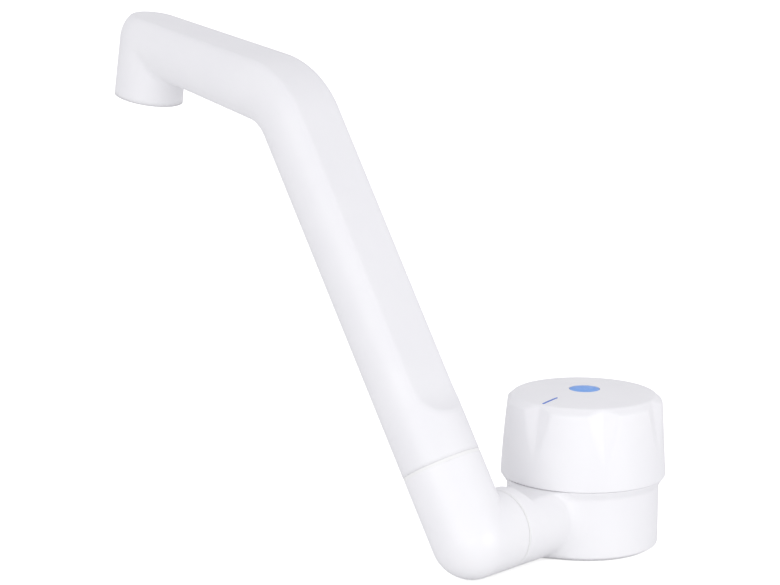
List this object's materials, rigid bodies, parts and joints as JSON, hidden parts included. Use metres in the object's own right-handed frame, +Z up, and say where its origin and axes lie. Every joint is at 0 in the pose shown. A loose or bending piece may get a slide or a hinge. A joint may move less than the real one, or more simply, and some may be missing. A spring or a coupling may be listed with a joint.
{
  "type": "cold water tap",
  "caption": "Small cold water tap: a ribbed knob over a round body turns a ceramic valve, and the angled spout folds down on the neck's end.",
  "frame": {"origin": "on the body's axis at the worktop, in the middle of the body's foot", "axes": "+Z up along the body's and the knob's axis; the neck leaves along -Y and the raised spout reaches out along -X"},
  "size_m": [0.1633, 0.0883, 0.1528],
  "materials": {
    "white_plastic": "satin gloss",
    "inner_plastic": "matte",
    "black_rubber": "matte",
    "turned_brass": "turned",
    "spring_steel": "plain",
    "valve_ceramic": "lapped",
    "cap_blue": "satin",
    "mark_blue": "satin",
    "outlet_plastic": "matte"
  },
  "bodies": {
    "base": {"tap_body": "white_plastic", "base_gasket": "black_rubber", "inlet_bush": "turned_brass", "inlet_oring": "black_rubber", "bonnet": "inner_plastic", "bonnet_oring": "black_rubber", "headwork_housing": "turned_brass", "housing_oring": "black_rubber", "seat_seal": "black_rubber", "fixed_disc": "valve_ceramic", "neck_nipple": "turned_brass", "neck_orings": "black_rubber", "neck_washer": "inner_plastic", "neck_snap_ring": "spring_steel"},
    "turning_knob": {"knob": "white_plastic", "knob_insert": "turned_brass", "knob_screw": "spring_steel", "blue_cap": "cap_blue", "index_mark": "mark_blue", "spindle": "turned_brass", "spindle_washer": "inner_plastic", "spindle_orings": "black_rubber", "spindle_circlip": "spring_steel", "turning_disc": "valve_ceramic"},
    "folding_elbow": {"elbow": "white_plastic", "spout_washer": "inner_plastic"},
    "spout": {"spout_tube": "white_plastic", "spout_orings": "black_rubber", "spout_snap_ring": "spring_steel", "outlet_gasket": "black_rubber", "outlet_mesh": "spring_steel", "outlet_straightener": "outlet_plastic"}
  },
  "joints": [
    {"name": "knob_turn", "type": "hinge", "parent": "base", "child": "turning_knob", "pos_m": [0, 0, 0.03], "axis": [0, 0, 1], "range_deg": [0, 90]},
    {"name": "spout_fold", "type": "hinge", "parent": "base", "child": "folding_elbow", "pos_m": [0, -0.0522, 0.0121], "axis": [0, -1, 0], "range_deg": [0, 60]},
    {"name": "spout_swivel", "type": "hinge", "parent": "folding_elbow", "child": "spout", "pos_m": [-0.01125, -0.0522, 0.03159], "axis": [-0.5, 0, 0.866], "range_deg": [-90, 90]}
  ]
}
